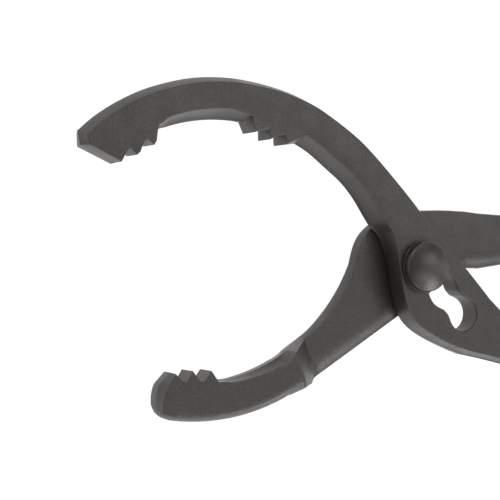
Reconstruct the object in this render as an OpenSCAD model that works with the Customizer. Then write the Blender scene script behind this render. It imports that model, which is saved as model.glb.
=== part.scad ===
// Slip-joint oil filter pliers: two forged levers that cross on a shouldered pivot bolt.
// The origin is on the bolt axis in the plane the tool rests on. +Z is the bolt axis,
// +X runs towards the handles, and the jaws face each other along Y.

/* [Levers] */
// Thickness of the forged jaws and of the slotted lever
lever_t = 7.5; // [6.5:0.5:8]
// Thickness of the pivot lever where the slotted lever laps over it
lap_t = 4.2; // [3.6:0.2:5]
// Running gap between the two levers
lever_gap = 0.3; // [0.2:0.05:0.4]

/* [Slip slot] */
// Distance between neighbouring pivot positions
slot_pitch = 11.4; // [11.2:0.1:11.6]
// Direction of the slot below the X axis
slot_angle = 43.5; // [42:0.5:45]
// Radius of each of the three round seats
seat_r = 5.5; // [5.3:0.1:5.6]
// Width of the necks between the seats
neck_w = 8.4; // [7.8:0.2:8.8]

/* [Pivot bolt] */
// Diameter of the domed head
head_d = 16; // [14:0.5:17]
// Height of the head's side wall
head_wall = 2.2; // [1.8:0.1:2.6]
// Height of the dome above the side wall
dome_h = 2.4; // [1.8:0.2:3]
// Diameter of the washer under the head
washer_d = 16.6; // [15:0.2:18]
// Thickness of the washer
washer_t = 0.8; // [0.6:0.1:1]
// Diameter of the threaded end
thread_d = 8; // [7:1:8]
// Size of the thin hexagon nut across its flats
nut_af = 13; // [13:1:15]

/* [Handles] */
// X position where the dipped grips begin
grip_start = 78; // [75:1:90]
// Wall of the dipped grips
grip_wall = 1.8; // [1.4:0.1:2.2]

/* [Hidden] */
$fn = 64;

// Heights above the rest plane
nut_h = 4.5;
lap_top = nut_h + lap_t;
lever_z = lap_top + lever_gap;
lever_top = lever_z + lever_t;
washer_gap = 0.1;
washer_z = lever_top + washer_gap;
head_z = washer_z + washer_t;
bar_z = grip_wall;

// Clearances round the bolt, and how far a cutter stands past what it cuts
flat_gap = 0.1;
pin_gap = 0.08;
press_gap = 0.03;
thread_gap = 0.05;
overlap = 1;
pin_r = seat_r - pin_gap;
pin_flat = neck_w - 2 * flat_gap;
washer_hole_r = pin_r + 0.2;
dome_r = (head_d * head_d / 4 + dome_h * dome_h) / (2 * dome_h);

// Ramp in the pivot lever between the lap and its jaw, and joggle in the slotted lever's handle
ramp_turn = 20.5;
ramp_foot = -45.3;
ramp_head = -53.8;
under_ramp_foot = ramp_foot - 7;
under_ramp_head = ramp_head - 6;
drop_from = 38;
drop_to = 54;
joggle_from = 50;
joggle_to = 76;
far = 260;
end_sweep = 84;

gunmetal = [0.25, 0.24, 0.23];
vinyl_black = [0.1, 0.1, 0.11];

// Catmull-Rom curve through points of any size, with n steps for each span
function spline(p, n = 6) = [
    for (i = [0 : len(p) - 2]) for (k = [0 : n - 1])
        let (a = p[max(i - 1, 0)], b = p[i], c = p[i + 1], d = p[min(i + 2, len(p) - 1)], t = k / n)
        b + t * (c - a) / 2 + t * t * (2 * a - 5 * b + 4 * c - d) / 2
          + t * t * t * (3 * b - a - 3 * c + d) / 2,
    p[len(p) - 1]
];
function arc(centre, r, from, to, n = 24) = [
    for (i = [0 : n]) let (a = from + (to - from) * i / n) centre + r * [cos(a), sin(a)]
];
function flip(p) = [for (i = [len(p) - 1 : -1 : 0]) p[i]];
function xy(p) = [p[0], p[1]];
// One side of a bar whose rows are x, y and width; side is 1 or -1
function bar_edge(bar, side, grow = 0) = [
    for (i = [0 : len(bar) - 1])
        let (d = xy(bar[min(i + 1, len(bar) - 1)]) - xy(bar[max(i - 1, 0)]))
        xy(bar[i]) + side * (bar[i][2] / 2 + grow) * [-d[1], d[0]] / norm(d)
];
// Round end of a bar, from its upper side to its lower side
function bar_end(bar, grow = 0) =
    let (e = bar[len(bar) - 1], d = xy(e) - xy(bar[len(bar) - 2]), a = atan2(d[1], d[0]))
    arc(xy(e), e[2] / 2 + grow, a + end_sweep, a - end_sweep, 14);

// Handles: x, y and width along the middle of each bar
slotted_bar = spline([[23.6, -19.9, 20.4], [35.2, -25.2, 14.8], [48, -29.4, 12.8], [62, -33.2, 12.8],
                      [78, -37.6, 13.2], [108, -46, 13], [140, -53.8, 13], [170, -59, 12.5]]);
pivot_bar = spline([[30, 8.45, 18.7], [45, 9.1, 16.2], [60, 10.2, 14.4], [78, 10.8, 13.4],
                    [108, 9.4, 13], [140, 5.4, 13], [170, 0, 12.5]]);

slotted_back = spline([[-117.4, 38.2], [-111.9, 42.8], [-104.3, 47.5], [-94.9, 51.7], [-82, 55.1],
                       [-68.6, 56], [-54.8, 54.4], [-44, 51.4], [-35, 46.9], [-22.3, 38.1], [-9, 26],
                       [3.4, 13.5], [18.4, -1.1], [25.2, -7.9]]);
slotted_neck = spline([[15, -27.6], [7, -24.3], [0.6, -20.9], [-3.6, -17.3], [-6.2, -12.8], [-7.9, -7],
                       [-9, -0.6], [-10.4, 4.4], [-12.9, 9.8], [-16.2, 12.8]]);
slotted_throat = spline([[-18.8, 16.3], [-22.5, 21.3], [-27.1, 26.2], [-33.5, 31], [-39.4, 35.2],
                         [-44.4, 37.8]]);
slotted_heel_teeth = [[-46.6, 37.5], [-50.9, 37.3], [-52.2, 39.6], [-56.5, 38.6], [-57.8, 41.3],
                      [-61.7, 40.5]];
slotted_recess = arc([-70.4, -13.8], 57.5, 83.5, 109, 16);
slotted_tip = [[-91.5, 40], [-93.6, 39.4], [-94.6, 38], [-95.3, 35.2], [-97.7, 36.2], [-100.6, 32],
               [-103, 33.5], [-106.1, 29.9], [-116.6, 34.2]];
slotted_outline = concat(slotted_back, bar_edge(slotted_bar, 1), bar_end(slotted_bar),
                         flip(bar_edge(slotted_bar, -1)), slotted_neck, slotted_throat,
                         slotted_heel_teeth, slotted_recess, slotted_tip);

pivot_crown = spline([[-17.6, 10], [-14, 13.4], [-7, 16.8], [2, 18], [14, 18.5], [24, 18.3]]);
pivot_outer = concat(spline([[24, -0.7], [22, -1.2], [19.5, -2.6], [17, -4.1]]),
                     spline([[-38, -36.1], [-42.5, -37.1], [-48, -38.9]]));
pivot_jaw_back = arc([-77.2, 24.5], 69.5, 293, 260, 20);
pivot_tip = concat(spline([[-91.2, -43.2], [-92.4, -42.2], [-92.7, -41]]),
                   spline([[-92.3, -37], [-91, -33.4], [-88.9, -30.5]]));
pivot_teeth = [[-85.7, -32.6], [-82.5, -29.9], [-79.5, -33], [-76.8, -30.1], [-74.8, -32.9]];
pivot_jaw_bore = arc([-79.9, 29.1], 62.9, 277, 300, 14);
pivot_throat = concat(spline([[-44, -23.3], [-40, -21.1], [-36.5, -18.4]]),
                      arc([-72, 23.5], 54.8, 315, 341, 14));
pivot_outline = concat(pivot_crown, bar_edge(pivot_bar, 1), bar_end(pivot_bar),
                       flip(bar_edge(pivot_bar, -1)), pivot_outer, pivot_jaw_back, pivot_tip,
                       pivot_teeth, pivot_jaw_bore, pivot_throat);

// Prism along Y whose outline is given in X and Z
module side_prism(points) {
    rotate([90, 0, 0]) linear_extrude(far, center = true) polygon(points);
}

// Bolt shank section: round with two flats that line up with the slot
module shank(r, flat, z, h) {
    rotate([0, 0, -slot_angle]) translate([0, 0, z]) intersection() {
        cylinder(r = r, h = h);
        translate([-r, -flat / 2, 0]) cube([2 * r, flat, h]);
    }
}

module slip_slot() {
    cut_h = lever_t + 2 * overlap;
    rotate([0, 0, -slot_angle]) translate([0, 0, lever_z - overlap]) {
        for (i = [0 : 2]) translate([i * slot_pitch, 0, 0]) cylinder(r = seat_r, h = cut_h);
        translate([0, -neck_w / 2, 0]) cube([2 * slot_pitch, neck_w, cut_h]);
    }
}

module slotted_lever() {
    color(gunmetal) difference() {
        intersection() {
            linear_extrude(lever_top) polygon(slotted_outline);
            side_prism([[-far, lever_z], [joggle_from, lever_z], [joggle_to, bar_z], [far, bar_z],
                        [far, bar_z + lever_t], [joggle_to, bar_z + lever_t],
                        [joggle_from, lever_top], [-far, lever_top]]);
        }
        slip_slot();
    }
}

module pivot_lever() {
    color(gunmetal) difference() {
        intersection() {
            linear_extrude(lever_top) polygon(pivot_outline);
            union() {
                rotate([0, 0, ramp_turn])
                    side_prism([[-far, lever_z], [under_ramp_head, lever_z], [under_ramp_foot, nut_h],
                                [far, nut_h], [far, lap_top], [ramp_foot, lap_top],
                                [ramp_head, lever_top], [-far, lever_top]]);
                side_prism([[drop_from, nut_h], [drop_to, bar_z], [far, bar_z], [far, lap_top],
                            [drop_from, lap_top]]);
            }
        }
        shank(pin_r + press_gap, pin_flat + 2 * press_gap, nut_h - overlap, lap_t + 2 * overlap);
    }
}

module pivot_bolt() {
    color(gunmetal) {
        cylinder(d = thread_d, h = nut_h + press_gap);
        shank(pin_r, pin_flat, nut_h, head_z - nut_h);
        translate([0, 0, head_z]) cylinder(d = head_d, h = head_wall);
        intersection() {
            translate([0, 0, head_z + head_wall + dome_h - dome_r]) sphere(r = dome_r);
            translate([0, 0, head_z + head_wall]) cylinder(d = head_d, h = dome_h + overlap);
        }
    }
}

module head_washer() {
    color(gunmetal) translate([0, 0, washer_z]) difference() {
        cylinder(d = washer_d, h = washer_t);
        translate([0, 0, -overlap]) cylinder(r = washer_hole_r, h = washer_t + 2 * overlap);
    }
}

module pivot_nut() {
    color(gunmetal) difference() {
        cylinder(d = nut_af / cos(30), h = nut_h, $fn = 6);
        translate([0, 0, -overlap]) cylinder(d = thread_d + 2 * thread_gap, h = nut_h + 2 * overlap);
    }
}

// Dipped sleeve over a handle bar: its outline grows by the wall all round
module grip_sleeve(bar, top) {
    intersection() {
        linear_extrude(top + grip_wall)
            polygon(concat(bar_edge(bar, 1, grip_wall), bar_end(bar, grip_wall),
                           flip(bar_edge(bar, -1, grip_wall))));
        translate([grip_start, -far / 2, 0]) cube([far, far, top + grip_wall]);
    }
}

module slotted_lever_grip() {
    color(vinyl_black) difference() {
        grip_sleeve(slotted_bar, bar_z + lever_t);
        slotted_lever();
    }
}

module pivot_lever_grip() {
    color(vinyl_black) difference() {
        grip_sleeve(pivot_bar, lap_top);
        pivot_lever();
    }
}

slotted_lever();
pivot_lever();
pivot_bolt();
head_washer();
pivot_nut();
slotted_lever_grip();
pivot_lever_grip();
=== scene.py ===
import math

import bmesh
import bpy
import numpy as np
from mathutils import Matrix, Vector, geometry


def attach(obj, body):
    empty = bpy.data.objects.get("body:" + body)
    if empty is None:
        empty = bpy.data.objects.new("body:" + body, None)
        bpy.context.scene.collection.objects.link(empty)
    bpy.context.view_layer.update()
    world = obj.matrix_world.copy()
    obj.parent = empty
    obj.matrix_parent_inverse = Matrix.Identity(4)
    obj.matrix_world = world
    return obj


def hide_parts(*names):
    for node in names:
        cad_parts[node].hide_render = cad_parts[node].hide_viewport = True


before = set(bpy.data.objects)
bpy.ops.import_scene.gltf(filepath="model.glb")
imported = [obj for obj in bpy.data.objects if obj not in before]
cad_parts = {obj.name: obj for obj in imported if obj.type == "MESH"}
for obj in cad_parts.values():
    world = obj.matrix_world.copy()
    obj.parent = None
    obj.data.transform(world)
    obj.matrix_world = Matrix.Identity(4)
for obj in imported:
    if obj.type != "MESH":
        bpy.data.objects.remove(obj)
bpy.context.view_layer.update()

MM = 0.001

# ---------------------------------------------------------------- sizes, in millimetres
NUT_HEIGHT = 4.5
LAP_THICKNESS = 4.2
LEVER_THICKNESS = 7.5
LAP_TOP = NUT_HEIGHT + LAP_THICKNESS
LEVER_BOTTOM = LAP_TOP + 0.3
LEVER_TOP = LEVER_BOTTOM + LEVER_THICKNESS
BAR_BOTTOM = 1.8

# Where the slotted lever steps down to its handle, and where the lap does, along X
SLOTTED_JOGGLE = (50, 76)
LAP_JOGGLE = (38, 54)

# The ramp of the pivot lever: its turn from the X axis, and its foot and head along that turned axis.
# Under the ramp the back face climbs over a stretch that lies a little further out.
RAMP_TURN = math.radians(20.5)
RAMP_FOOT = -45.3
RAMP_HEAD = -53.8
BACK_RAMP_FOOT = -52.3
BACK_RAMP_HEAD = -59.8
RAMP_EASE = 0.4
RAMP_HEAD_EASE = 0.3
BACK_RAMP_EASE = 1.5

SLOT_PITCH = 11.4
SLOT_ANGLE = math.radians(-43.5)
SEAT_RADIUS = 5.5
NECK_WIDTH = 8.4
NECK_EASE = 1.6

PIN_RADIUS = SEAT_RADIUS - 0.08
PIN_FLATS = NECK_WIDTH - 0.2
THREAD_RADIUS = 4.0
CHAMFER = 0.6
WASHER_BOTTOM = LEVER_TOP + 0.1
WASHER_THICKNESS = 0.8
WASHER_RADIUS = 8.3
WASHER_HOLE = PIN_RADIUS + 0.2
WASHER_EDGE = 0.12
HEAD_BOTTOM = WASHER_BOTTOM + WASHER_THICKNESS
HEAD_RADIUS = 8.0
HEAD_WALL = 2.2
HEAD_EDGE = 0.3
HEAD_EDGE_MIDDLE = 0.08
DOME_HEIGHT = 2.4
RIM_INSET = 0.675
RIM_DROP = 0.495
RIM_LIFT = 0.05

NUT_ACROSS_FLATS = 13.0
NUT_CONE_INSET = 0.25
NUT_CONE_SLOPE = 1.75
NUT_CONE_DEPTHS = (0.0, 0.25, 0.6, 1.0)
NUT_BORE_RADIUS = THREAD_RADIUS + 0.02
NUT_BORE_CHAMFER = 0.55

GRIP_START = 78
GRIP_WALL = 1.8
GRIP_LIP = 1.4
GRIP_SINK = 0.2
GRIP_SQUARENESS = 2.7
GRIP_THIN_POWER = 0.7
GRIP_LIP_GAP = 0.3

# ---------------------------------------------------------------- mesh settings
# Steps and gaps in millimetres, sides of turned pieces, shares of the way round a rim, along the lip
# of a grip and along its closed end, and the angles above which a bend counts as a corner or an edge
STEP = 0.75
LAP_STEP = 1.5
SLOT_STEP = 0.25
SLOT_SAMPLES = 220
SAME_PLACE = 0.05
CAP_SPACING = 2.2
TURNED_SIDES = 96
NUT_SIDES = 192
GRIP_SIDES = 72
RIM_STEPS = (0.2, 0.4, 0.6, 0.8)
GRIP_LIP_STEPS = (0.0, 0.12, 0.35, 0.65, 1.0)
GRIP_END_STEPS = (0.2, 0.38, 0.55, 0.7, 0.82, 0.91, 0.97, 0.995)
CORNER_ANGLE = math.radians(8)
SHARP_ANGLE = math.radians(38)
NUT_SHARP_ANGLE = math.radians(25)


# ---------------------------------------------------------------- outline helpers
def spline(points):
    """Catmull-Rom curve through rows of any size, in steps of about STEP."""
    p = [np.array(q, float) for q in points]
    out = []
    for i in range(len(p) - 1):
        a, b, c, d = p[max(i - 1, 0)], p[i], p[i + 1], p[min(i + 2, len(p) - 1)]
        n = max(1, round(np.linalg.norm(c[:2] - b[:2]) / STEP))
        for k in range(n):
            t = k / n
            out.append(b + t * (c - a) / 2 + t * t * (2 * a - 5 * b + 4 * c - d) / 2
                       + t ** 3 * (3 * b - a - 3 * c + d) / 2)
    return out + [p[-1]]


def bend(t, a, b, c):
    """A point at share t along the quadratic curve that leaves a towards b and ends in c."""
    return (1 - t) ** 2 * a + 2 * t * (1 - t) * b + t * t * c


def arc(centre, radius, first, last):
    """Points on a circle, from one angle to another in degrees."""
    fewest = 6
    pieces = max(fewest, round(math.radians(abs(last - first)) * radius / STEP))
    angles = np.radians(np.linspace(first, last, pieces + 1))
    return [np.array(centre, float) + radius * np.array([math.cos(a), math.sin(a)]) for a in angles]


def bar_edge(bar, side):
    """One side of a bar whose rows are x, y and width."""
    out = []
    for i, row in enumerate(bar):
        d = bar[min(i + 1, len(bar) - 1)][:2] - bar[max(i - 1, 0)][:2]
        normal = np.array([-d[1], d[0]]) / np.linalg.norm(d)
        out.append(row[:2] + side * row[2] / 2 * normal)
    return out


def bar_end(bar):
    """The round end of a bar, from one of its sides to the other."""
    half_turn = 84
    d = bar[-1][:2] - bar[-2][:2]
    heading = math.degrees(math.atan2(d[1], d[0]))
    return arc(bar[-1][:2], bar[-1][2] / 2, heading + half_turn, heading - half_turn)


def polyline(points, step=STEP):
    """Straight stretches cut into short pieces, with every given corner kept."""
    out = []
    for a, b in zip(points[:-1], points[1:]):
        a, b = np.array(a, float), np.array(b, float)
        n = max(1, math.ceil(np.linalg.norm(b - a) / step))
        out += [a + (b - a) * k / n for k in range(n)]
    return out + [np.array(points[-1], float)]


class Run:
    """A stretch of a lever's outline with its section: how far the front and back faces stand in
    from the outline, the radius of the worn edge, a band on the front face that falls away and the
    power of its curve, the wall's curve (above 1 it bulges, below 1 it is hollow) and how far down
    its widest line lies."""

    def __init__(self, points, front=0.0, back=0.0, edge=0.3, band=0.4, fall=0.0, power=1.0, lean=2.0,
                 part=0.5):
        self.points = points
        self.section = [self.spread(v) for v in (front, back, edge, band, fall, power, lean, part)]

    def spread(self, value):
        """A number, or pairs of (share of the run's length, value) that are joined up."""
        if not isinstance(value, list):
            value = [(0, value), (1, value)]
        share = np.linspace(0, 1, len(self.points))
        return np.interp(share, [v[0] for v in value], [v[1] for v in value])


def join_runs(runs):
    """One closed outline, with the section values at each of its points."""
    points, rows = [], []
    for run in runs:
        for i, p in enumerate(run.points):
            if points and np.linalg.norm(p - points[-1]) < SAME_PLACE:
                rows[-1] = [s[i] for s in run.section]
                continue
            points.append(p)
            rows.append([s[i] for s in run.section])
    if np.linalg.norm(points[0] - points[-1]) < SAME_PLACE:
        points.pop()
        rows.pop()
    return np.array(points), np.array(rows)


def inset_loop(points, amounts):
    """The outline moved inwards. amounts belongs to the edge that starts at each point. At a corner
    the moved edges meet; along a curve the point moves along the mean normal."""
    heading = np.roll(points, -1, axis=0) - points
    heading /= np.linalg.norm(heading, axis=1)[:, None]
    n_after = np.stack([heading[:, 1], -heading[:, 0]], axis=1)
    n_before = np.roll(n_after, 1, axis=0)
    d_after, d_before = amounts, np.roll(amounts, 1)
    cross = n_before[:, 0] * n_after[:, 1] - n_before[:, 1] * n_after[:, 0]
    corner = np.abs(cross) > math.sin(CORNER_ANGLE)
    safe = np.where(corner, cross, 1.0)
    meet = np.stack([(d_before * n_after[:, 1] - d_after * n_before[:, 1]) / safe,
                     (d_after * n_before[:, 0] - d_before * n_after[:, 0]) / safe], axis=1)
    mean = n_before + n_after
    mean /= np.linalg.norm(mean, axis=1)[:, None]
    mean *= ((d_before + d_after) / 2)[:, None]
    moved = points + np.where(corner[:, None], meet, mean)
    stops = np.flatnonzero(corner)
    for first, last in zip(stops, np.roll(stops, -1)):
        straighten(points, moved, first, last, heading)
    return untangle(moved, heading)


def straighten(points, moved, first, last, heading):
    """Between two moved corners, space the points evenly along a straight edge, or along a curve
    spread out those that a corner has run past."""
    straight_slack = 1.005
    least_advance = 0.3
    n = len(points)
    steps = (last - first) % n
    between = [(first + k) % n for k in range(steps + 1)]
    along = np.cumsum([0] + [np.linalg.norm(points[j] - points[i]) for i, j in zip(between, between[1:])])
    if along[-1] < straight_slack * np.linalg.norm(points[last] - points[first]):
        for j, share in zip(between, along / along[-1]):
            moved[j] = moved[first] + (moved[last] - moved[first]) * share
        return
    for path, forwards in ((between, True), (between[::-1], False)):
        start = path[0]
        way = heading[start] if forwards else -heading[start - 1]
        for k, j in enumerate(path[1:], 1):
            if (moved[j] - moved[start]) @ way > least_advance * np.linalg.norm(points[j] - points[start]):
                break
        for m in range(1, k):
            moved[path[m]] = moved[start] + (moved[path[k]] - moved[start]) * m / k


def untangle(moved, heading):
    """Draw together the points of a tight convex bend that the inset has turned inside out."""
    rounds = 10
    turned_back = -1e-9
    for _ in range(rounds):
        ahead = np.roll(moved, -1, axis=0) - moved
        bad = np.flatnonzero(np.sum(ahead * heading, axis=1) < turned_back)
        if len(bad) == 0:
            break
        for i in bad:
            j = (i + 1) % len(moved)
            moved[i] = moved[j] = (moved[i] + moved[j]) / 2
    return moved


def is_anticlockwise(points):
    x, y = points[:, 0], points[:, 1]
    return np.sum(x * np.roll(y, -1) - np.roll(x, -1) * y) > 0


# ---------------------------------------------------------------- mesh helpers
def new_object(name, verts, faces, wear_and_highlight=None, sharp_angle=SHARP_ANGLE):
    """A closed mesh in metres from millimetre points: welded, facing outwards, and smooth but for
    its sharp edges. The wear values say how rubbed each point is and so how far a painted edge
    highlight lightens it, or nothing for a piece without worn edges."""
    weld = 1e-6
    mesh = bpy.data.meshes.new(name)
    mesh.from_pydata([tuple(float(c) * MM for c in v) for v in verts], [], faces)
    mesh.validate()
    mesh.update()
    mesh.shade_smooth()
    layer = mesh.attributes.new("wear_and_highlight", "FLOAT", "POINT")
    layer.data.foreach_set("value", [float(w) for w in wear_and_highlight or [0.0] * len(verts)])
    bm = bmesh.new()
    bm.from_mesh(mesh)
    bmesh.ops.remove_doubles(bm, verts=bm.verts, dist=weld)
    bmesh.ops.dissolve_degenerate(bm, edges=bm.edges, dist=weld)
    bmesh.ops.recalc_face_normals(bm, faces=bm.faces)
    bm.to_mesh(mesh)
    bm.free()
    mesh.set_sharp_from_angle(angle=sharp_angle)
    obj = bpy.data.objects.new(name, mesh)
    bpy.context.scene.collection.objects.link(obj)
    return obj


def inside(points, polygon):
    """Which points lie inside a closed polygon."""
    x, y = points[:, 0], points[:, 1]
    x0, y0 = polygon[:, 0], polygon[:, 1]
    x1, y1 = np.roll(x0, -1), np.roll(y0, -1)
    hit = np.zeros(len(points), bool)
    for a, b, c, d in zip(x0, y0, x1, y1):
        if b == d:
            continue
        crosses = (b > y) != (d > y)
        hit ^= crosses & (x < (c - a) * (y - b) / (d - b) + a)
    return hit


def fill_face(loops, spacing, extra_points):
    """Triangles of a flat face bounded by loops[0] with holes loops[1:]. The result holds the added
    inner points and the triangles, which count the loops' points first."""
    row_height = 0.87
    clear_of_border = 0.45
    outer = loops[0]
    low, high = outer.min(axis=0), outer.max(axis=0)
    rows = []
    for j, y in enumerate(np.arange(low[1], high[1], spacing * row_height)):
        shift = spacing / 2 * (j % 2)
        rows += [(x + shift, y) for x in np.arange(low[0], high[0], spacing)]
    grid = np.array(rows + list(extra_points))
    keep = inside(grid, outer)
    for hole in loops[1:]:
        keep &= ~inside(grid, hole)
    grid = grid[keep]
    border = np.concatenate(loops)
    gaps = np.array([np.min(np.sum((border - g) ** 2, axis=1)) for g in grid])
    grid = grid[gaps >= (clear_of_border * spacing) ** 2]
    edges, start = [], 0
    for loop in loops:
        n = len(loop)
        edges += [(start + i, start + (i + 1) % n) for i in range(n)]
        start += n
    coords = [Vector((float(a), float(b))) for a, b in np.concatenate([border, grid])]
    inside_only, same_point = 1, 1e-5
    out = geometry.delaunay_2d_cdt(coords, edges, [], inside_only, same_point)
    verts, tris, origins = np.array([tuple(v) for v in out[0]]), out[2], out[3]
    index, added = {}, []
    for i, origin in enumerate(origins):
        if origin:
            index[i] = origin[0]
        else:
            index[i] = len(coords) + len(added)
            added.append(verts[i])
    centres = np.array([verts[list(t)].mean(axis=0) for t in tris])
    keep = np.ones(len(tris), bool)
    for hole in loops[1:]:
        keep &= ~inside(centres, hole)
    faces = [tuple(index[i] for i in t) for t, k in zip(tris, keep) if k]
    inner = np.concatenate([grid, np.array(added)]) if added else grid
    return inner, faces


# Shares of the way across the falling band, round the worn edge and down the wall
BAND_STEPS = (0.0, 0.25, 0.5, 0.75)
EDGE_STEPS = (0.0, 0.25, 0.5, 0.75, 1.0)
WALL_STEPS = (0.15, 0.3, 0.45, 0.6, 0.72, 0.84, 0.93, 1.0)

# The width of the level band on the back face, the largest share of the way to the widest line that
# the worn edge may take, how fast rubbing and its painted highlight fade from the edge's middle, and
# rubbing with painted highlight at the wall's top
BACK_BAND = 0.4
LONGEST_EDGE = 0.6
EDGE_WEAR_HIGHLIGHT_FADE = 1.2
WALL_WEAR_HIGHLIGHT = 0.35


def section_rings(rows, thickness, back=False):
    """Rings from a face down to the widest line: inset per edge, drop per point and wear, which also sets a
    painted edge highlight.
    """
    front, rear, edge, band, fall, power, lean, part = rows.T
    half = thickness * (1 - part if back else part)
    draft = rear if back else front
    if back:
        band, fall = np.full_like(band, BACK_BAND), np.zeros_like(fall)
    rings = []
    for t in BAND_STEPS:
        rings.append((draft + edge + band * (1 - t), fall * t ** power, 0.0))
    reach = np.minimum(edge / half, LONGEST_EDGE)
    foot = fall + reach * (half - fall)
    # The third value of each ring is rubbing, strongest at the edge's middle and fading down the wall; it
    # also sets how strongly the edge is lightened as a painted highlight
    for t in EDGE_STEPS:
        inset = bend(t, draft + edge, draft, draft * (1 - reach) ** lean)
        rings.append((inset, bend(t, fall, fall, foot), 1.0 - abs(t - 0.5) * EDGE_WEAR_HIGHLIGHT_FADE))
    for t in WALL_STEPS:
        down = reach + (1 - reach) * t
        rings.append((draft * (1 - down) ** lean, foot + (half - foot) * t, WALL_WEAR_HIGHLIGHT * (1 - t)))
    return rings


def band_faces(first, second, n):
    """The quads between two rings of n points that start at the given points."""
    return [(first + i, first + (i + 1) % n, second + (i + 1) % n, second + i) for i in range(n)]


def build_lever(name, runs, top, bottom, holes=(), extra_points=()):
    """A forged lever: its outline is lofted through the section rings from the front face to the
    back face, both faces are filled, and the heights follow the functions top and bottom."""
    verts, wear_and_highlight, faces = [], [], []
    front_caps, back_caps = [], []
    for number, outline in enumerate([runs, *holes]):
        points, rows = join_runs(outline)
        if is_anticlockwise(points) == (number == 0):
            points, rows = points[::-1], np.roll(rows[::-1], -1, axis=0)
        thickness = top(points) - bottom(points)
        levels = [(ring, True) for ring in section_rings(rows, thickness)]
        levels += [(ring, False) for ring in reversed(section_rings(rows, thickness, back=True)[:-1])]
        starts, rings = [], []
        # Each ring carries its rubbing, which the material also uses as a painted edge highlight
        for (inset, drop, rub_and_highlight), is_front in levels:
            ring = inset_loop(points, inset)
            height = top(ring) - drop if is_front else bottom(ring) + drop
            starts.append(len(verts))
            rings.append(ring)
            verts += [(x, y, z) for (x, y), z in zip(ring, height)]
            wear_and_highlight += [rub_and_highlight] * len(ring)
        front_caps.append((starts[0], rings[0]))
        back_caps.append((starts[-1], rings[-1]))
        for first, second in zip(starts[:-1], starts[1:]):
            faces += band_faces(first, second, len(points))
    for caps, level in ((front_caps, top), (back_caps, bottom)):
        inner, tris = fill_face([ring for _, ring in caps], CAP_SPACING, extra_points)
        slots = [start + i for start, ring in caps for i in range(len(ring))]
        slots += [len(verts) + i for i in range(len(inner))]
        verts += [(x, y, z) for (x, y), z in zip(inner, level(inner))]
        wear_and_highlight += [0.0] * len(inner)
        faces += [tuple(slots[i] for i in tri) for tri in tris]
    return new_object(name, verts, faces, wear_and_highlight)


def smoothstep(t):
    """From 0 to 1 as t goes from 0 to 1, level at both ends."""
    t = np.clip(t, 0, 1)
    return t * t * (3 - 2 * t)


def soft_min(a, b, r):
    """The smaller of two heights, with the corner between them rounded over about r."""
    h = np.clip(0.5 + 0.5 * (b - a) / r, 0, 1)
    return b + (a - b) * h - r * h * (1 - h)


# ---------------------------------------------------------------- lever outlines
SLOTTED_BAR = spline([[23.6, -19.9, 20.4], [35.2, -25.2, 14.8], [48, -29.4, 12.8], [62, -33.2, 12.8],
                      [78, -37.6, 13.2], [108, -46, 13], [140, -53.8, 13], [170, -59, 12.5]])
PIVOT_BAR = spline([[30, 8.45, 18.7], [45, 9.1, 16.2], [60, 10.2, 14.4], [78, 10.8, 13.4],
                    [108, 9.4, 13], [140, 5.4, 13], [170, 0, 12.5]])

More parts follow.
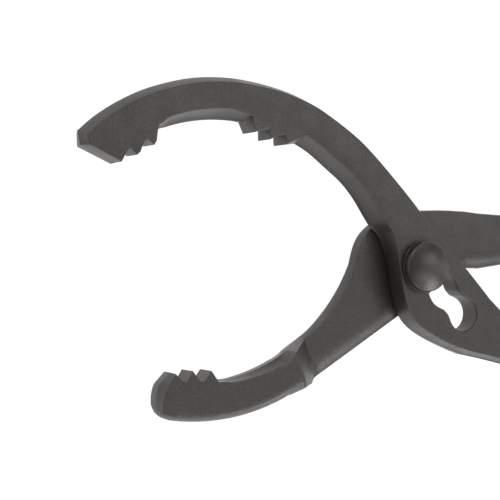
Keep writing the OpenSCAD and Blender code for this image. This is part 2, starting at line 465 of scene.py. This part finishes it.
SLOTTED_RUNS = [
    Run(spline([[-117.4, 38.2], [-111.9, 42.8], [-104.3, 47.5], [-94.9, 51.7], [-82, 55.1], [-68.6, 56],
                [-54.8, 54.4], [-44, 51.4], [-35, 46.9], [-22.3, 38.1], [-9, 26], [3.4, 13.5],
                [18.4, -1.1], [25.2, -7.9]]),
        front=[(0, 1.9), (0.3, 1.8), (0.45, 1.5), (0.6, 0.4), (1, 0.3)],
        back=[(0, 1.5), (0.45, 1.5), (0.6, 0.4), (1, 0.4)], lean=1.2),
    Run(bar_edge(SLOTTED_BAR, 1) + bar_end(SLOTTED_BAR), front=[(0, 0.3), (0.2, 1), (1, 1)], back=0.8,
        edge=0.5),
    Run(bar_edge(SLOTTED_BAR, -1)[::-1], front=1.2, back=[(0, 0.8), (0.8, 0.5), (1, 0.1)], edge=0.3,
        lean=0.6, part=0.6),
    Run(spline([[15, -27.6], [7, -24.3], [0.6, -20.9], [-3.6, -17.3], [-6.2, -12.8], [-7.9, -7],
                [-9, -0.6], [-10.4, 4.4], [-12.9, 9.8], [-16.2, 12.8]]),
        front=[(0, 0.9), (0.29, 0.7), (0.4, 0.5), (0.5, 0.2), (0.7, 0.1), (0.8, 0.6), (0.92, 1.6), (1, 2.3)],
        back=0.1, edge=0.25, band=1.6, fall=0.12, lean=0.65, part=[(0, 0.6), (0.3, 0.92), (1, 0.92)]),
    Run(spline([[-16.2, 12.8], [-18.8, 16.3], [-22.5, 21.3], [-27.1, 26.2], [-33.5, 31], [-39.4, 35.2],
                [-44.4, 37.8]]),
        front=[(0, 2.3), (0.3, 2), (0.6, 1.8), (0.85, 1.7), (1, 2.1)], back=[(0, 0.1), (0.3, 0.3), (1, 0.3)],
        edge=0.25, band=1.7, fall=0.12, lean=0.65, part=0.92),
    Run(polyline([[-44.4, 37.8], [-46.6, 37.5], [-49, 37.3]]), front=[(0, 2.1), (1, 0.1)], back=0, edge=0.25,
        lean=1, part=[(0, 0.92), (1, 0.5)]),
    Run(polyline([[-49, 37.3], [-51.5, 36.8], [-51.7, 39.6], [-52.5, 40.1], [-57, 38.1], [-57.1, 40.9],
                  [-57.9, 41.5], [-62.3, 40]]), front=0, back=0, edge=0.25, lean=1),
    Run(polyline([[-62.3, 40], [-63.9, 43.3]]), front=[(0, 0), (1, 1.5)], back=0, edge=0.25),
    Run(arc([-70.4, -13.8], 57.5, 83.5, 109), front=[(0, 1.5), (0.12, 2.3), (0.25, 2.7), (1, 2.7)],
        back=[(0, 0), (0.1, 0.2), (1, 0.2)], lean=0.6, part=[(0, 0.5), (0.15, 0.85), (1, 0.85)]),
    Run(spline([[-89.1, 40.57], [-91.5, 40], [-93.4, 39.3], [-94.4, 37.6]]),
        front=[(0, 2.7), (0.6, 1.3), (1, 0.1)], back=[(0, 0.2), (1, 0)], lean=0.8,
        part=[(0, 0.85), (1, 0.5)]),
    Run(polyline([[-94.4, 37.6], [-94.6, 36], [-95.4, 34.8], [-97.2, 36.2], [-98.2, 36], [-99, 34.6],
                  [-99.7, 32.7], [-100.7, 31.8], [-102.7, 33.6], [-103.5, 33.3], [-104.4, 31.7],
                  [-105.5, 29.7]]), front=0, back=0, edge=0.25, lean=1),
    Run(polyline([[-105.5, 29.7], [-116.6, 34.2]]), front=[(0, 0), (1, 0.5)], back=[(0, -0.3), (1, 0)],
        edge=0.25, lean=1),
    Run(polyline([[-116.6, 34.2], [-117.4, 38.2]]), front=[(0, 1.7), (1, 0.8)], back=[(0, 0.6), (1, 1.2)],
        edge=0.25, lean=1),
]

PIVOT_RUNS = [
    Run(spline([[-21.02, 0.8], [-20.3, 3.6], [-19.1, 7], [-16.9, 10.7], [-13, 14], [-7, 16.8], [2, 18],
                [14, 18.5], [24, 18.3]]),
        front=[(0, 0.6), (0.25, 0.4), (1, 0.3)], back=[(0, 0.5), (0.3, 1.2), (1, 1.2)],
        band=[(0, 0.4), (0.3, 1), (1, 1)], fall=[(0, 0), (0.3, 0.12), (1, 0.12)],
        part=[(0, 0.9), (0.15, 0.9), (0.35, 0.5), (1, 0.5)]),
    Run(bar_edge(PIVOT_BAR, 1) + bar_end(PIVOT_BAR), front=0.5, back=0.8, edge=0.4, band=1.0, fall=0.12),
    Run(bar_edge(PIVOT_BAR, -1)[::-1], front=0.3, back=0.8, edge=0.5, band=[(0, 1), (0.5, 2), (1, 5.5)],
        fall=[(0, 0.2), (0.5, 0.4), (1, 1.4)], power=2),
    Run(spline([[24, -0.7], [22, -1.2], [19.5, -2.6], [17, -4.1]]), front=0.2, back=1.1, edge=0.5, band=5.5,
        fall=1.4, power=2),
    Run(polyline([[17, -4.1], [-38, -36.1]], LAP_STEP),
        front=0.1, back=1.2, edge=0.5, band=5.5, fall=1.4, power=2),
    Run(spline([[-38, -36.1], [-42.5, -37.1], [-48, -38.9]]), front=[(0, 0.1), (1, 2.4)], back=1.4,
        band=[(0, 5.5), (1, 1.5)], fall=[(0, 1.4), (1, 0.3)], power=2),
    Run(arc([-77.2, 24.5], 69.5, 294, 260), front=[(0, 2.4), (0.4, 1.8), (0.8, 1.2), (1, 1.1)], back=1.5,
        band=1.0, fall=0.1, power=2),
    Run(spline([[-89.3, -43.9], [-91.2, -43.2], [-92.5, -42.2], [-93, -41]]), front=[(0, 1.1), (1, 0.4)],
        back=[(0, 1.5), (1, 0.3)]),
    Run(spline([[-93, -41], [-93, -37], [-91.9, -33.4], [-88.7, -30.2]]),
        front=[(0, 0.4), (0.4, 1.2), (0.7, 1.4), (1, 0)], edge=0.25, lean=1),
    Run(polyline([[-88.7, -30.2], [-86.4, -32.5], [-84.9, -32.9], [-83, -29.8], [-80.7, -32.7],
                  [-79.2, -33.1], [-76.9, -30], [-75.2, -32.4], [-74.4, -33.4], [-73.2, -33.4]]),
        front=0, back=0, edge=0.25, lean=1),
    Run(arc([-79.9, 29.1], 62.9, 277, 300),
        front=[(0, 0), (0.06, 0.6), (0.32, 1.1), (0.6, 1.5), (0.83, 2.2), (0.92, 1.5), (1, 0.6)],
        back=[(0, 0), (0.1, 0.3), (0.75, 0.3), (1, 1.6)], lean=0.8),
    Run(spline([[-48.45, -25.37], [-43.9, -23.5], [-39.7, -21.5], [-36, -19], [-32.54, -15.96]]),
        front=0.6, back=[(0, 1.6), (1, 0.5)], part=[(0, 0.5), (1, 0.9)]),
    Run(arc([-72, 23.5], 55.8, 315, 336), front=0.6, back=0.5, part=0.9),
]


def turn_by_slot(x, y):
    """A point given along and across the slot, in the part's frame."""
    c, s = math.cos(SLOT_ANGLE), math.sin(SLOT_ANGLE)
    return np.array([c * x - s * y, s * x + c * y])


def slot_outline():
    """The slip slot: three round seats joined by necks, with the corners between them eased."""
    points = []
    for side in (1, -1):
        samples = []
        for x in np.linspace(-SEAT_RADIUS, 2 * SLOT_PITCH + SEAT_RADIUS, SLOT_SAMPLES):
            reach = [SEAT_RADIUS ** 2 - (x - seat * SLOT_PITCH) ** 2 for seat in range(3)]
            y = math.sqrt(max(max(reach), 0))
            if 0 < x < 2 * SLOT_PITCH:
                y = -soft_min(-y, -NECK_WIDTH / 2, NECK_EASE)
            samples.append(turn_by_slot(x, side * y))
        points += samples if side > 0 else samples[::-1]
    kept = [points[0]]
    for p in points[1:]:
        if np.linalg.norm(p - kept[-1]) > SLOT_STEP:
            kept.append(p)
    return kept


def step_down(p, stretch):
    """From 0 to 1 as X runs through a stretch."""
    return smoothstep((p[:, 0] - stretch[0]) / (stretch[1] - stretch[0]))


def slotted_top(p):
    return LEVER_TOP - (LEVER_BOTTOM - BAR_BOTTOM) * step_down(p, SLOTTED_JOGGLE)


def slotted_bottom(p):
    return slotted_top(p) - LEVER_THICKNESS


def along_ramp(p):
    return p[:, 0] * math.cos(RAMP_TURN) + p[:, 1] * math.sin(RAMP_TURN)


def pivot_top(p):
    """The lap, the ramp and the jaw's front face."""
    s = along_ramp(p)
    slope = (LEVER_TOP - LAP_TOP) / (RAMP_FOOT - RAMP_HEAD)
    climb = LAP_TOP + slope * (RAMP_FOOT - s)
    low = -soft_min(-climb, np.full_like(s, -LAP_TOP), RAMP_EASE)
    return soft_min(low, np.full_like(s, LEVER_TOP), RAMP_HEAD_EASE)


def pivot_bottom(p):
    """The back of the lap and its joggle, the climb under the ramp and the jaw's back face."""
    s = along_ramp(p)
    slope = (LEVER_BOTTOM - NUT_HEIGHT) / (BACK_RAMP_FOOT - BACK_RAMP_HEAD)
    climb = NUT_HEIGHT + slope * (BACK_RAMP_FOOT - s)
    lap = NUT_HEIGHT - (NUT_HEIGHT - BAR_BOTTOM) * step_down(p, LAP_JOGGLE)
    low = -soft_min(-climb, -lap, BACK_RAMP_EASE)
    return soft_min(low, np.full_like(s, LEVER_BOTTOM), BACK_RAMP_EASE)


def ramp_points():
    """Rows of points along the ramp's edges, so that the face bends cleanly there."""
    margin_head, margin_foot, row_gap = 1.6, 2.0, 0.5
    across_from, across_to, point_gap = -30, 10, 1.0
    out = []
    c, s = math.cos(RAMP_TURN), math.sin(RAMP_TURN)
    for along in np.arange(RAMP_HEAD - margin_head, RAMP_FOOT + margin_foot, row_gap):
        out += [(c * along - s * across, s * along + c * across)
                for across in np.arange(across_from, across_to, point_gap)]
    return out


# ---------------------------------------------------------------- turned and lofted pieces
def circle(radius, z, n, turn=0.0):
    """n points of a level circle about the bolt axis."""
    angles = [2 * math.pi * k / n + turn for k in range(n)]
    return [(radius * math.cos(a), radius * math.sin(a), z) for a in angles]


def lathe(profile, n=TURNED_SIDES):
    """Vertices and faces of a profile of (radius, height) turned about the bolt axis."""
    verts, faces = [], []
    for radius, z in profile:
        verts += circle(radius, z, n)
    for j in range(len(profile) - 1):
        faces += band_faces(j * n, (j + 1) * n, n)
    return verts, faces


def end_caps(rings, n):
    """The two faces that close a stack of rings."""
    return [tuple(range(n)), tuple(range((rings - 1) * n, rings * n))]


def build_bolt():
    """The bolt from its threaded end up: chamfered thread, shank with two flats and domed head."""
    profile = [(THREAD_RADIUS - CHAMFER, 0), (THREAD_RADIUS, CHAMFER), (THREAD_RADIUS, NUT_HEIGHT)]
    shank_from = len(profile) * TURNED_SIDES
    profile += [(PIN_RADIUS, NUT_HEIGHT), (PIN_RADIUS, HEAD_BOTTOM)]
    shank_to = len(profile) * TURNED_SIDES
    profile += [(HEAD_RADIUS - HEAD_EDGE, HEAD_BOTTOM),
                (HEAD_RADIUS - HEAD_EDGE_MIDDLE, HEAD_BOTTOM + HEAD_EDGE_MIDDLE),
                (HEAD_RADIUS, HEAD_BOTTOM + HEAD_EDGE)]
    wall_top = HEAD_BOTTOM + HEAD_WALL - RIM_DROP
    profile.append((HEAD_RADIUS, wall_top))
    dome_radius = (HEAD_RADIUS ** 2 + DOME_HEIGHT ** 2) / (2 * DOME_HEIGHT)
    dome_centre = HEAD_BOTTOM + HEAD_WALL + DOME_HEIGHT - dome_radius
    touch = HEAD_RADIUS - RIM_INSET
    touch_z = dome_centre + math.sqrt(dome_radius ** 2 - touch ** 2)
    corner_z = HEAD_BOTTOM + HEAD_WALL + RIM_LIFT
    for t in RIM_STEPS:
        profile.append((bend(t, HEAD_RADIUS, HEAD_RADIUS, touch), bend(t, wall_top, corner_z, touch_z)))
    dome_rings, smallest_ring = 16, 0.25
    for r in np.linspace(touch, smallest_ring, dome_rings):
        profile.append((r, dome_centre + math.sqrt(dome_radius ** 2 - r * r)))
    verts, faces = lathe(profile)
    c, s = math.cos(SLOT_ANGLE), math.sin(SLOT_ANGLE)
    for k in range(shank_from, shank_to):
        x, y, z = verts[k]
        across = -s * x + c * y
        flat = max(-PIN_FLATS / 2, min(PIN_FLATS / 2, across))
        verts[k] = (*turn_by_slot(c * x + s * y, flat), z)
    faces += end_caps(len(profile), TURNED_SIDES)
    return new_object("pivot_bolt_turned", verts, faces)


def build_washer():
    """Thin washer with eased edges."""
    hole, outer, edge = WASHER_HOLE, WASHER_RADIUS, WASHER_EDGE
    low, high = WASHER_BOTTOM, WASHER_BOTTOM + WASHER_THICKNESS
    profile = [(hole, low + edge), (hole, high - edge), (hole + edge, high), (outer - edge, high),
               (outer, high - edge), (outer, low + edge), (outer - edge, low), (hole + edge, low)]
    verts, faces = lathe(profile)
    faces += band_faces((len(profile) - 1) * TURNED_SIDES, 0, TURNED_SIDES)
    return new_object("head_washer_ring", verts, faces)


def build_nut():
    """Thin hexagon nut with both faces chamfered and a countersunk thread."""
    n = NUT_SIDES
    sixth = math.pi / 3
    low = [(depth, depth) for depth in NUT_CONE_DEPTHS]
    high = [(NUT_HEIGHT - depth, depth) for depth in reversed(NUT_CONE_DEPTHS)]
    verts, faces = [], []
    for z, depth in low + high:
        cone = NUT_ACROSS_FLATS / 2 - NUT_CONE_INSET + depth * NUT_CONE_SLOPE
        for k in range(n):
            a = 2 * math.pi * k / n
            from_flat = (a + sixth / 2) % sixth - sixth / 2
            r = min(NUT_ACROSS_FLATS / 2 / math.cos(from_flat), cone)
            verts.append((r * math.cos(a + sixth / 2), r * math.sin(a + sixth / 2), z))
    bore = [(NUT_BORE_RADIUS, NUT_HEIGHT), (NUT_BORE_RADIUS, NUT_BORE_CHAMFER),
            (THREAD_RADIUS + CHAMFER, 0.0)]
    for radius, z in bore:
        verts += circle(radius, z, n, sixth / 2)
    rings = len(low) + len(high) + len(bore)
    for j in range(rings):
        faces += band_faces(j * n, (j + 1) % rings * n, n)
    return new_object("pivot_nut_hexagon", verts, faces, sharp_angle=NUT_SHARP_ANGLE)


def build_grip(name, bar, low, high):
    """Dipped vinyl sleeve: a rounded section swept along the bar, with a soft lip where the dip
    ends and a closed round end."""
    n = GRIP_SIDES
    table = np.array(bar)
    mouth = np.array([np.interp(GRIP_START, table[:, 0], column) for column in table.T])
    rows = [mouth] + [r for r in bar if r[0] > GRIP_START]
    stations = []
    first = rows[0]
    heading = (rows[1] - rows[0])[:2]
    heading /= np.linalg.norm(heading)
    for t in GRIP_LIP_STEPS:
        grow = math.sqrt(1 - (1 - t) ** 2)
        stations.append((first[:2] + heading * GRIP_LIP * t, heading, first[2] / 2, grow, 1.0))
    for i in range(1, len(rows)):
        d = (rows[min(i + 1, len(rows) - 1)] - rows[i - 1])[:2]
        if np.linalg.norm(rows[i][:2] - first[:2]) > GRIP_LIP + GRIP_LIP_GAP:
            stations.append((rows[i][:2], d / np.linalg.norm(d), rows[i][2] / 2, 1.0, 1.0))
    end, heading, half_width = stations[-1][:3]
    reach = half_width + GRIP_WALL
    for t in GRIP_END_STEPS:
        stations.append((end + heading * reach * t, heading, half_width, 1.0, math.sqrt(1 - t * t)))
    verts, faces = [], []
    middle = (low + high) / 2
    core_height = (high - low) / 2 - GRIP_WALL
    for centre, d, half_width, grow, shrink in stations:
        side = np.array([-d[1], d[0]])
        wall = (GRIP_WALL + GRIP_SINK) * grow - GRIP_SINK
        wide = (half_width + wall) * shrink
        tall = (core_height + wall) * shrink ** GRIP_THIN_POWER
        for k in range(n):
            c, s = math.cos(2 * math.pi * k / n), math.sin(2 * math.pi * k / n)
            across = wide * math.copysign(abs(c) ** (2 / GRIP_SQUARENESS), c)
            up = tall * math.copysign(abs(s) ** (2 / GRIP_SQUARENESS), s)
            verts.append((*(centre + side * across), middle + up))
    for j in range(len(stations) - 1):
        faces += band_faces(j * n, (j + 1) * n, n)
    faces += end_caps(len(stations), n)
    return new_object(name, verts, faces)


# ---------------------------------------------------------------- materials
STEEL_DARK = (0.021, 0.0176, 0.0152)
STEEL_PALE = (0.032, 0.0282, 0.0252)
# Pale steel on rubbed edges, which also serves as a painted highlight along the edges
STEEL_RUBBED_HIGHLIGHT = (0.085, 0.081, 0.076)
STEEL_TINT = (1.0, 0.97, 0.935, 1)
VINYL_DARK = (0.012, 0.012, 0.013)
VINYL_PALE = (0.02, 0.02, 0.021)


def grey(value):
    return (value, value, value)


class Nodes:
    """Small helper to write a node material."""

    def __init__(self, name):
        self.material = bpy.data.materials.new(name)
        self.material.use_nodes = True
        self.tree = self.material.node_tree
        self.shader = self.tree.nodes["Principled BSDF"]

    def add(self, kind, inputs=(), **settings):
        """A new node. Each input is a value or another node's output."""
        node = self.tree.nodes.new(kind)
        for key, value in settings.items():
            setattr(node, key, value)
        for key, value in dict(inputs).items():
            if isinstance(value, bpy.types.NodeSocket):
                self.tree.links.new(value, node.inputs[key])
            else:
                node.inputs[key].default_value = value
        return node

    def link(self, output, socket):
        self.tree.links.new(output, self.shader.inputs[socket])

    def place(self):
        return self.add("ShaderNodeTexCoord").outputs["Object"]

    def noise(self, scale, detail, rough, stretch=(1, 1, 1)):
        where = self.add("ShaderNodeMapping", {"Vector": self.place(), "Scale": stretch}).outputs[0]
        settings = {"Vector": where, "Scale": scale, "Detail": detail, "Roughness": rough}
        return self.add("ShaderNodeTexNoise", settings).outputs["Fac"]

    def ramp(self, fac, first, last, ends=(0.3, 0.7)):
        """From one colour to another between two values of fac."""
        node = self.add("ShaderNodeValToRGB", {"Fac": fac})
        for element, at, colour in zip(node.color_ramp.elements, ends, (first, last)):
            element.position = at
            element.color = (*colour, 1)
        return node.outputs["Color"]

    def math(self, operation, a, b, clamp=False):
        return self.add("ShaderNodeMath", {0: a, 1: b}, operation=operation, use_clamp=clamp).outputs[0]

    def mix(self, fac, output, colour):
        """Another node's colour output, changed to a fixed colour as fac goes to 1."""
        first, second = 6, 7
        inputs = {0: fac, first: output, second: (*colour, 1)}
        return self.add("ShaderNodeMix", inputs, data_type="RGBA").outputs[2]

    def bump(self, height, strength, distance, normal=None):
        inputs = {"Height": height, "Strength": strength, "Distance": distance}
        if normal is not None:
            inputs["Normal"] = normal
        return self.add("ShaderNodeBump", inputs).outputs[0]


def forged_steel():
    """Black oxide over a blasted forging: fine grain, slow brown mottle, edges rubbed brighter, partly as
    real wear and partly as a painted highlight standing for the light the rounded edges catch, and
    grinding lines along Y from just left of the joint to the right."""
    m = Nodes("forged_steel")
    wear_and_highlight = m.add("ShaderNodeAttribute", attribute_name="wear_and_highlight").outputs["Fac"]
    mottle = m.noise(160, 5, 0.6)
    grain = m.noise(1500, 3, 0.7)
    x = m.add("ShaderNodeSeparateXYZ", {"Vector": m.place()}).outputs["X"]
    ground = m.math("MULTIPLY", m.math("ADD", x, 0.03), 50, clamp=True)
    lines = m.noise(1700, 2, 0.6, stretch=(1, 0.06, 1))
    colour = m.ramp(mottle, STEEL_DARK, STEEL_PALE)
    speck = m.ramp(grain, grey(0.55), grey(1.4), ends=(0.35, 0.65))
    tinted = m.add("ShaderNodeVectorMath", {0: colour, 1: speck}, operation="MULTIPLY").outputs[0]
    # Painted highlight: rubbing on edges and wall tops, broken by the mottle, mixes the colour towards pale
    # steel, standing partly for wear and partly for light caught on the rounded edges
    rub_and_highlight = m.math("MULTIPLY", wear_and_highlight, m.math("MULTIPLY", mottle, 0.8))
    m.link(m.mix(rub_and_highlight, tinted, STEEL_RUBBED_HIGHLIGHT), "Base Color")
    m.link(m.ramp(mottle, grey(0.44), grey(0.36)), "Roughness")
    m.shader.inputs["IOR"].default_value = 1.62
    m.shader.inputs["Specular Tint"].default_value = STEEL_TINT
    normal = m.bump(m.noise(1100, 3, 0.6), 0.6, 0.0001)
    normal = m.bump(m.math("MULTIPLY", lines, ground), 0.5, 0.0001, normal)
    normal = m.bump(m.noise(120, 2, 0.5), 0.3, 0.0004, normal)
    m.link(normal, "Normal")
    return m.material


def bolt_steel():
    """The same black oxide on turned steel, finer and a little shinier."""
    m = Nodes("bolt_steel")
    mottle = m.noise(260, 4, 0.55)
    m.link(m.ramp(mottle, STEEL_DARK, STEEL_PALE), "Base Color")
    m.link(m.ramp(mottle, grey(0.44), grey(0.34)), "Roughness")
    m.shader.inputs["IOR"].default_value = 1.65
    m.shader.inputs["Specular Tint"].default_value = STEEL_TINT
    normal = m.bump(m.noise(900, 3, 0.6), 0.3, 0.0001)
    normal = m.bump(m.noise(200, 3, 0.5), 0.25, 0.0003, normal)
    m.link(normal, "Normal")
    return m.material


def dipped_vinyl():
    """Black vinyl with a slightly uneven, satin skin."""
    m = Nodes("dipped_vinyl")
    cloud = m.noise(90, 4, 0.5)
    m.link(m.ramp(cloud, VINYL_DARK, VINYL_PALE), "Base Color")
    m.link(m.ramp(cloud, grey(0.42), grey(0.5)), "Roughness")
    normal = m.bump(m.noise(900, 3, 0.5), 0.15, 0.00008)
    normal = m.bump(m.noise(60, 2, 0.5), 0.3, 0.0006, normal)
    m.link(normal, "Normal")
    return m.material


def dress(obj, material, node, body):
    """Give a piece its material, and say which CAD node it replaces and which body it rides."""
    obj.data.materials.append(material)
    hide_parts(node)
    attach(obj, body)


# ---------------------------------------------------------------- the tool
steel, bolt, vinyl = forged_steel(), bolt_steel(), dipped_vinyl()

slot_run = [Run(slot_outline(), front=0.0, back=0.0, edge=0.5, band=0.3)]
dress(build_lever("slotted_lever_forging", SLOTTED_RUNS, slotted_top, slotted_bottom, holes=[slot_run]),
      steel, "slotted_lever", "slotted_side")
dress(build_lever("pivot_lever_forging", PIVOT_RUNS, pivot_top, pivot_bottom, extra_points=ramp_points()),
      steel, "pivot_lever", "pivot_side")
dress(build_bolt(), bolt, "pivot_bolt", "pivot_side")
dress(build_washer(), bolt, "head_washer", "washer")
dress(build_nut(), bolt, "pivot_nut", "pivot_side")
dress(build_grip("slotted_lever_grip_sleeve", SLOTTED_BAR, 0.0, BAR_BOTTOM + LEVER_THICKNESS + GRIP_WALL),
      vinyl, "slotted_lever_grip", "slotted_side")
dress(build_grip("pivot_lever_grip_sleeve", PIVOT_BAR, 0.0, LAP_TOP + GRIP_WALL),
      vinyl, "pivot_lever_grip", "pivot_side")

# ---------------------------------------------------------------- floor, light and camera, in metres
FLOOR_REACH = 6.0
FLOOR_DROP = 0.0002
WORLD_STRENGTH = 0.25

# Each softbox: azimuth from +X towards +Y and elevation in degrees, power in watts, width in metres
SOFTBOXES = {
    "overhead_box": (30, 60, 2.3, 0.9),
    "front_high_box": (300, 60, 2.3, 0.9),
    "right_fill_box": (0, 30, 1.2, 1.0),
    "back_box": (90, 30, 1.6, 1.0),
    "right_box": (315, 30, 3.2, 0.5),
    "right_low_box": (315, 12, 2.6, 0.9),
    "front_low_box": (270, 12, 4.0, 1.4),
    "back_low_box": (130, 12, 5.0, 1.4),
}
BOX_DISTANCE = 1.2
BOX_HEIGHT = 0.45

CAMERA_PLACE = (-0.2621, 0.0031, 0.3555)
CAMERA_TARGET = (-0.0641, 0.0051, LEVER_TOP * MM)
LENS_MM = 95.8
SENSOR_MM = 36


def look_at(obj, target):
    """Point an object's -Z at a place, with +Y of the world as near up as can be."""
    forward = (Vector(target) - obj.location).normalized()
    right = forward.cross(Vector((0, 1, 0))).normalized()
    up = right.cross(forward)
    turn = Matrix((right, up, -forward)).transposed()
    obj.rotation_euler = turn.to_euler()


def floor():
    """A pale floor that glows a little, as a lit sweep of white paper does."""
    mesh = bpy.data.meshes.new("floor")
    corners = [(-1, -1), (1, -1), (1, 1), (-1, 1)]
    mesh.from_pydata([(FLOOR_REACH * x, FLOOR_REACH * y, 0) for x, y in corners], [], [(0, 1, 2, 3)])
    obj = bpy.data.objects.new("floor", mesh)
    obj.location.z = -FLOOR_DROP
    bpy.context.scene.collection.objects.link(obj)
    material = bpy.data.materials.new("floor")
    material.use_nodes = True
    shader = material.node_tree.nodes["Principled BSDF"]
    shader.inputs["Base Color"].default_value = (0.1, 0.1, 0.1, 1)
    shader.inputs["Roughness"].default_value = 0.9
    shader.inputs["Specular IOR Level"].default_value = 0.0
    shader.inputs["Emission Color"].default_value = (1, 1, 1, 1)
    shader.inputs["Emission Strength"].default_value = 1.0
    obj.data.materials.append(material)


def studio():
    """The softboxes round the tool and an even light from the world."""
    for name, (azimuth, elevation, power, width) in SOFTBOXES.items():
        light = bpy.data.lights.new(name, "AREA")
        light.shape = "RECTANGLE"
        light.size = width
        light.size_y = BOX_HEIGHT
        light.energy = power
        obj = bpy.data.objects.new(name, light)
        a, e = math.radians(azimuth), math.radians(elevation)
        direction = Vector((math.cos(e) * math.cos(a), math.cos(e) * math.sin(a), math.sin(e)))
        obj.location = BOX_DISTANCE * direction
        look_at(obj, (0, 0, 0))
        bpy.context.scene.collection.objects.link(obj)
    world = bpy.data.worlds.new("studio")
    world.use_nodes = True
    background = world.node_tree.nodes["Background"]
    background.inputs["Color"].default_value = (1, 1, 1, 1)
    background.inputs["Strength"].default_value = WORLD_STRENGTH
    bpy.context.scene.world = world
    bpy.context.scene.view_settings.view_transform = "Standard"


def camera():
    data = bpy.data.cameras.new("camera")
    data.lens = LENS_MM
    data.sensor_width = SENSOR_MM
    data.clip_start = 0.01
    obj = bpy.data.objects.new("camera", data)
    obj.location = CAMERA_PLACE
    look_at(obj, CAMERA_TARGET)
    bpy.context.scene.collection.objects.link(obj)
    bpy.context.scene.camera = obj


floor()
studio()
camera()
